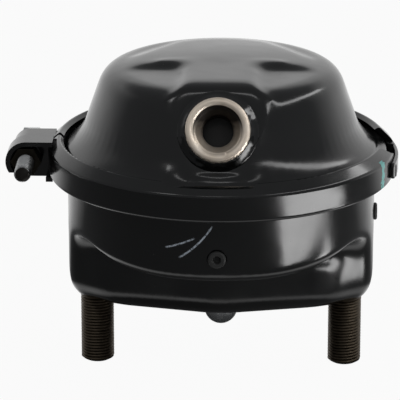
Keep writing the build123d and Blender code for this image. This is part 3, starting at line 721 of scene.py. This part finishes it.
# %% [markdown]
# ## Screw threads
#
# A thread is a V groove that winds round a bar. It could be a bump, but a bump leaves the
# silhouette smooth, and the studs stand against the pale floor. The cutter is a triangle carried
# along a helix by the Screw modifier, with its two ends closed, and a Boolean takes it out of a
# copy of the plain CAD part. With its tip pointing outward, the same cutter threads a hole.

# %% Helix from a profile
def wind(profile, rise, turns, steps):
    """Carry a closed profile up a helix round Z, and close its two ends."""
    modify(
        profile, "SCREW", axis="Z", angle=2 * math.pi, screw_offset=rise, iterations=turns,
        steps=steps, render_steps=steps, use_merge_vertices=True, merge_threshold=0.001 * MM,
    )
    bpy.ops.object.mode_set(mode="EDIT")
    bpy.ops.mesh.select_all(action="SELECT")
    bpy.ops.mesh.fill_holes(sides=0)
    bpy.ops.mesh.normals_make_consistent(inside=False)
    bpy.ops.object.mode_set(mode="OBJECT")


# %% Thread cutter
PROUD = 0.15             # of a pitch: how far the cutter stands out of the plain surface
HALF_WIDTH = 0.47        # of a pitch: the rest is the narrow crest between the grooves


def thread_cutter(name, pitch, surface, depth, start, turns):
    """Helical V cutter round Z, from the plain radius to this depth, negative for a bar."""
    deselect()
    bpy.ops.mesh.primitive_circle_add(
        vertices=3, radius=1, fill_type="NOTHING", rotation=(math.pi / 2, 0, 0)
    )
    cutter = bpy.context.object
    cutter.name = name
    bpy.ops.object.transform_apply(location=True, rotation=True, scale=True)
    outside = surface + PROUD * pitch * math.copysign(1, -depth)
    half = HALF_WIDTH * pitch
    corners = [(outside, start - half), (surface + depth, start), (outside, start + half)]
    for vertex, (radius, height) in zip(cutter.data.vertices, corners):
        vertex.co = (radius, 0, height)
    wind(cutter, pitch, turns, steps=48)
    return cutter


def cut(piece, cutter):
    """Take the cutter out of the piece, then delete the cutter."""
    modify(piece, "BOOLEAN", operation="DIFFERENCE", solver="EXACT", object=cutter)
    bpy.data.objects.remove(cutter)
    make_active(piece)
    bpy.ops.object.shade_smooth_by_angle(angle=math.radians(35))


def put(piece, offset, turned=None):
    """Turn a piece about the origin and move it, in its mesh."""
    make_active(piece)
    if turned:
        piece.rotation_mode = "QUATERNION"
        piece.rotation_quaternion = turned
    piece.location = offset
    bpy.ops.object.transform_apply(location=True, rotation=True, scale=True)


# %% [markdown]
# ## Studs and clamp bolt
#
# The studs are M16 with a fine 1.5 mm pitch, and the clamp bolt is M8 x 1.25. Their blanks come
# from the CAD model, so each cutter only has to be placed on the blank's axis. It starts about a
# pitch beyond the end of the thread, so that the groove runs out as a real one does.

# %% Threaded studs
FINE_PITCH = 1.5 * MM
FINE_DEPTH = 0.92 * MM
STUD_RADIUS = 8 * MM
STUD_END = -36.5 * MM    # a pitch beyond the tip
STUD_TURNS = 23

for side, x in (("left", -STUD_X), ("right", STUD_X)):
    stud = copy_of(f"stud_{side}", f"threaded_stud_{side}")
    cutter = thread_cutter(
        "stud_cutter", FINE_PITCH, STUD_RADIUS, -FINE_DEPTH, STUD_END, STUD_TURNS
    )
    put(cutter, (x, 0, 0))
    cut(stud, cutter)
    finish_piece(stud, "chamber", phosphate, f"stud_{side}")

# %% Threaded clamp bolt
BOLT_PITCH = 1.25 * MM
BOLT_DEPTH = 0.77 * MM
BOLT_RADIUS = 4 * MM
BOLT_TURNS = 24

nut_low, nut_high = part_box("clamp_nut")
bolt_axis = (nut_low + nut_high) / 2
bolt_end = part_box("clamp_bolt")[0].y - 1 * MM
bolt = copy_of("clamp_bolt", "threaded_clamp_bolt")
cutter = thread_cutter("bolt_cutter", BOLT_PITCH, BOLT_RADIUS, -BOLT_DEPTH, 0, BOLT_TURNS)
put(cutter, (bolt_axis.x, bolt_end, bolt_axis.z), Vector((0, 1, 0)).to_track_quat("Z", "Y"))
cut(bolt, cutter)
finish_piece(bolt, "chamber", bolt_zinc, "clamp_bolt")

# %% [markdown]
# ## Clamp nut
#
# The corners of a nut are turned off on a lathe before it is tapped. A sharp CAD edge gives no
# highlight, so the nut gets a narrow bevel, which catches the light as a thin line.

# %% Chamfered clamp nut
nut = with_round_edges("clamp_nut", "chamfered_clamp_nut", width=0.5 * MM, segments=3, angle=40)
finish_piece(nut, "chamber", dark_phosphate, "clamp_nut")

# %% [markdown]
# ## Air port
#
# The port takes an M16 x 1.5 fitting, and its thread begins below a smooth recess and a cone.
# Inside a hole the cutter's tip points outward, and the cutter is turned into the port's axis
# before it cuts.

# %% Threaded air port
PORT_RADIUS = 7.2 * MM   # of the plain hole
PORT_DEPTH = 0.8 * MM
PORT_END = -15.5 * MM    # below the face
PORT_TURNS = 4

boss = copy_of("port_boss", "threaded_port_boss")
cutter = thread_cutter("port_cutter", FINE_PITCH, PORT_RADIUS, PORT_DEPTH, PORT_END, PORT_TURNS)
put(cutter, PORT_FACE, PORT_AXIS.to_track_quat("Z", "Y"))
cut(boss, cutter)
finish_piece(boss, "chamber", steel, "port_boss")

# %% [markdown]
# ## Weld
#
# The boss is welded to the dome before painting. A hand weld is never even: it is lumpy and
# rippled where each drop of metal froze. The plain CAD ring is rebuilt from fine voxels, pushed
# in and out by clouds a few millimetres wide, and painted with the rest.

# %% Lumpy weld bead
LUMPS = ((8, 0.8), (3, 0.2))     # width and reach of the lumps, in mm

weld = copy_of("port_weld", "weld_bead")
modify(weld, "REMESH", mode="VOXEL", voxel_size=0.45 * MM, adaptivity=0)
for size, reach in LUMPS:
    lumps = bpy.data.textures.new(f"lumps_{size}", "CLOUDS")
    lumps.noise_scale = size * MM
    modify(
        weld, "DISPLACE", texture=lumps, texture_coords="LOCAL", mid_level=0.5, strength=reach * MM
    )
modify(weld, "SMOOTH", factor=0.5, iterations=14)
make_active(weld)
bpy.ops.object.shade_smooth()
finish_piece(weld, "chamber", enamel, "port_weld")

# %% [markdown]
# ## Diaphragm
#
# The diaphragm is a rubber sheet that turns inside out as the rod goes out. Its bead is held in
# the clamp and its middle lies on the plate. Here it is a copy that stays where the CAD solid
# stands. The steps of the CAD solid are smoothed, as on a moulded sheet.

diaphragm = softened("diaphragm", "rubber_diaphragm", 1.3 * MM, 4)
set_finish(diaphragm, rubber)
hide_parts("diaphragm")
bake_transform(diaphragm)

# %% [markdown]
# ## Plugs and seal
#
# The plugs in the vent holes and the seal under the base come out of a mould, with a small radius
# on every edge. The same bevel as on the nut gives it to them.

# %% Plugs and seal
for side in ("front", "right", "rear"):
    plug = with_round_edges(
        f"vent_plug_{side}", f"round_vent_plug_{side}", width=0.35 * MM, segments=3, angle=35
    )
    finish_piece(plug, "chamber", rubber, f"vent_plug_{side}")
seal = with_round_edges("base_seal", "round_base_seal", width=0.4 * MM, segments=3, angle=35)
finish_piece(seal, "chamber", rubber, "base_seal")

# %% [markdown]
# ## Dust boot
#
# The boot is a rubber bellows between the can and the rod. When the rod goes out it folds down
# onto its foot. Here it is a smoothed copy of the CAD solid, which rides on the chamber and gets a
# mesh of its own.


def squash_onto(piece):
    """Give a piece its own copy of its mesh."""
    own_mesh(piece)


boot = softened("dust_boot", "folded_boot", 0.7 * MM, 4)
finish_piece(boot, "chamber", rubber, "dust_boot")
squash_onto(boot)

# %% [markdown]
# ## Return spring
#
# The spring is wound from round wire between its seat and the plate. The CAD node is a coil too,
# and here the coil is wound again: a circle the size of the wire is carried up a helix in even
# steps, which keeps it free of creases. Like the boot, it gets a mesh of its own.

# %% Coiled spring
WIRE = 2.25 * MM         # radius of the wire
COIL = 27 * MM           # radius of the coil, to the middle of the wire
TURNS = 6

low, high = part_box("return_spring")
rise = (high.z - low.z - 2 * WIRE) / TURNS
deselect()
bpy.ops.mesh.primitive_circle_add(
    vertices=16, radius=WIRE, fill_type="NOTHING", rotation=(math.pi / 2, 0, 0),
    location=(COIL, 0, low.z + WIRE),
)
spring = bpy.context.object
spring.name = "coiled_spring"
bpy.ops.object.transform_apply(location=True, rotation=True, scale=True)
wind(spring, rise, TURNS, steps=64)
bpy.ops.object.shade_smooth_by_angle(angle=math.radians(40))
finish_piece(spring, "chamber", wire, "return_spring")
squash_onto(spring)

# %% [markdown]
# ## Finishes of the CAD nodes
#
# Nodes whose CAD shape is right as it is, such as the rod, the plate and the washers, stay, and
# only need a finish. The nodes that a new piece stands for get theirs as well. They are hidden
# here, but then no part of the model is left with a plain colour.

# %% Assign finishes
FINISHES = {
    enamel: [
        "pressure_housing", "service_housing", "clamp_band_front", "clamp_band_rear",
        "clamp_hinge_link", "port_weld",
    ],
    steel: ["port_boss"],
    bolt_zinc: ["clamp_bolt", "clamp_washers"],
    zinc: ["push_rod", "push_plate", "spring_seat", "boot_clip"],
    phosphate: ["stud_left", "stud_right"],
    dark_phosphate: ["clamp_nut"],
    rubber: [
        "vent_plug_front", "vent_plug_right", "vent_plug_rear",
        "diaphragm", "dust_boot", "base_seal",
    ],
    wire: ["return_spring"],
}

for finish, names in FINISHES.items():
    for name in names:
        for material_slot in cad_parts[name].material_slots:
            material_slot.material = finish
print("finished", sum(len(names) for names in FINISHES.values()), "CAD nodes")

# %% [markdown]
# ## Floor
#
# A plain pale floor, just below the studs. To the camera it is nearly white by itself. Gloss
# black mirrors its surroundings, so the floor also has to look right in reflections: white behind
# the chamber, where the floor runs up to the backdrop, white in a ring close to it, which shows
# low on the neck, and grey elsewhere. To all other rays it is plain matt grey, so it keeps the
# shadow and doesn't light the chamber from below.

# %% Floor
FLOOR_HEIGHT = -0.0352   # just below the studs
DIRECT = 0.95            # share of its own white that the camera sees; the rest takes the shadow
BEHIND = (0.10, 0.22)    # y between which the white behind the chamber begins
RING_IN = (0.085, 0.105)     # distances between which the white ring begins
RING_OUT = (0.140, 0.120)    # and ends

deselect()
bpy.ops.mesh.primitive_circle_add(
    vertices=64, radius=8, fill_type="NGON", location=(0, 0, FLOOR_HEIGHT)
)
floor = bpy.context.object
floor.name = "floor"
floor_paint, tree, place = new_finish("pale_matt_floor")
rays = add_node(tree, "LightPath")
direct = add_node(tree, "Math", {
    0: rays.outputs["Is Camera Ray"], 1: DIRECT,
}, operation="MULTIPLY")
depth = add_node(tree, "SeparateXYZ", {0: place}).outputs["Y"]
behind = add_node(tree, "MapRange", {
    "Value": depth, "From Min": BEHIND[0], "From Max": BEHIND[1],
})
away = add_node(tree, "VectorMath", {0: place}, operation="LENGTH").outputs["Value"]
outer = add_node(tree, "MapRange", {
    "Value": away, "From Min": RING_OUT[0], "From Max": RING_OUT[1],
})
inner = add_node(tree, "MapRange", {
    "Value": away, "From Min": RING_IN[0], "From Max": RING_IN[1],
})
near = add_node(tree, "Math", {0: outer.outputs[0], 1: inner.outputs[0]}, operation="MULTIPLY")
white = add_node(tree, "Math", {0: behind.outputs[0], 1: near.outputs[0]}, operation="MAXIMUM")
mirrored = add_node(tree, "Math", {
    0: rays.outputs["Is Glossy Ray"], 1: white.outputs[0],
}, operation="MULTIPLY")
seen = add_node(tree, "Math", {0: direct.outputs[0], 1: mirrored.outputs[0]}, operation="MAXIMUM")
matt = add_node(tree, "BsdfDiffuse", {"Color": linear("#9a9a9a")})
glow = add_node(tree, "Emission", {"Color": linear("#ffffff"), "Strength": 1.0})
use_shader(tree, add_node(tree, "MixShader", {
    0: seen.outputs[0], 1: matt.outputs[0], 2: glow.outputs[0],
}))
set_finish(floor, floor_paint)
print("floor at", FLOOR_HEIGHT, "m")

# %% [markdown]
# ## Studio room
#
# The room is a plain mid grey that lights the chamber evenly. The camera sees white instead. A
# white backdrop stands behind the chamber, up to about 35 degrees high, and only reflections see
# it: it makes the pale horizon in the top of the dome and in the shoulders of the ring, which
# tells the eye that the black is glossy.

# %% World
BACKDROP_TOP = (0.66, 0.50)      # height in the direction, as a sine, where it fades out and in
BACKDROP_SIDES = (0.08, 0.6)     # how far behind, as a cosine, where it fades in
ROOM = "#8f9092"

world = bpy.data.worlds.new("studio")
bpy.context.scene.world = world
world.use_nodes = True
tree = world.node_tree
tree.nodes.clear()
rays = add_node(tree, "LightPath")
seen = add_node(tree, "Math", {
    0: rays.outputs["Is Camera Ray"], 1: rays.outputs["Is Transmission Ray"],
}, operation="MAXIMUM")
direction = add_node(tree, "SeparateXYZ", {0: add_node(tree, "TexCoord").outputs["Generated"]})
low = add_node(tree, "MapRange", {
    "Value": direction.outputs["Z"], "From Min": BACKDROP_TOP[0], "From Max": BACKDROP_TOP[1],
})
behind = add_node(tree, "MapRange", {
    "Value": direction.outputs["Y"], "From Min": BACKDROP_SIDES[0], "From Max": BACKDROP_SIDES[1],
})
backdrop = add_node(tree, "Math", {0: low.outputs[0], 1: behind.outputs[0]}, operation="MULTIPLY")
mirrored = add_node(tree, "Math", {
    0: rays.outputs["Is Glossy Ray"], 1: backdrop.outputs[0],
}, operation="MULTIPLY")
white = add_node(tree, "Math", {0: seen.outputs[0], 1: mirrored.outputs[0]}, operation="MAXIMUM")
room = add_node(tree, "Mix", {
    "Factor": white.outputs[0], "A": linear(ROOM), "B": linear("#ffffff"),
}, data_type="RGBA")
background = add_node(tree, "Background", {"Color": room.outputs["Result"], "Strength": 1.0})
add_node(tree, "OutputWorld", {"Surface": background.outputs[0]})
print("world", world.name, "has", len(tree.nodes), "nodes")

# %% [markdown]
# ## Lamps
#
# Softboxes are used on glossy black as drawing tools: each one is a patch of light on the
# surface. Two cards lie on the floor at the right and draw the bright patch low on the drum and
# the strip on the end of the neck. A long strip high at the right draws the lines down the
# dome's right side. A strip above the front and a small box at the left give the highlights on
# the cross and on the left shoulder. They are small, so they add little general light.

# %% Lamps
def softbox(name, place, aim_at, width, height, radiance, turn=0.0):
    """A rectangular lamp that shows in reflections but not to the camera."""
    deselect()
    bpy.ops.object.light_add(type="AREA", location=place)
    lamp = bpy.context.object
    lamp.name = name
    lamp.data.shape = "RECTANGLE"
    lamp.data.size = width
    lamp.data.size_y = height
    lamp.data.energy = radiance * math.pi * width * height
    look = (Vector(aim_at) - Vector(place)).to_track_quat("-Z", "Y")
    lamp.rotation_euler = (look.to_matrix() @ Matrix.Rotation(turn, 3, "Z")).to_euler()
    lamp.visible_camera = False
    print(name, "is", width, "by", height, "m")


DOME = (0, 0, 0.08)
RING = (0, 0, 0.07)
CARD = (0.370, -0.260, -0.034)             # the two cards lie on the floor and face up
SIDE_CARD = (0.230, -0.060, -0.0335)
softbox("low_card", CARD, (CARD[0], CARD[1], 1), 0.26, 0.34, radiance=8.0, turn=math.radians(-30))
softbox("side_card", SIDE_CARD, (SIDE_CARD[0], SIDE_CARD[1], 1), 0.10, 0.032, radiance=8.0)
softbox("strip_right", (0.60, -0.12, 0.60), DOME, 1.3, 0.10, radiance=5.0)
softbox("strip_front", (-0.02, -0.75, 0.80), DOME, 0.35, 0.09, radiance=2.5)
softbox("small_left", (-0.45, -0.55, 0.75), RING, 0.16, 0.16, radiance=4.0)
bpy.context.scene.view_settings.view_transform = "Standard"
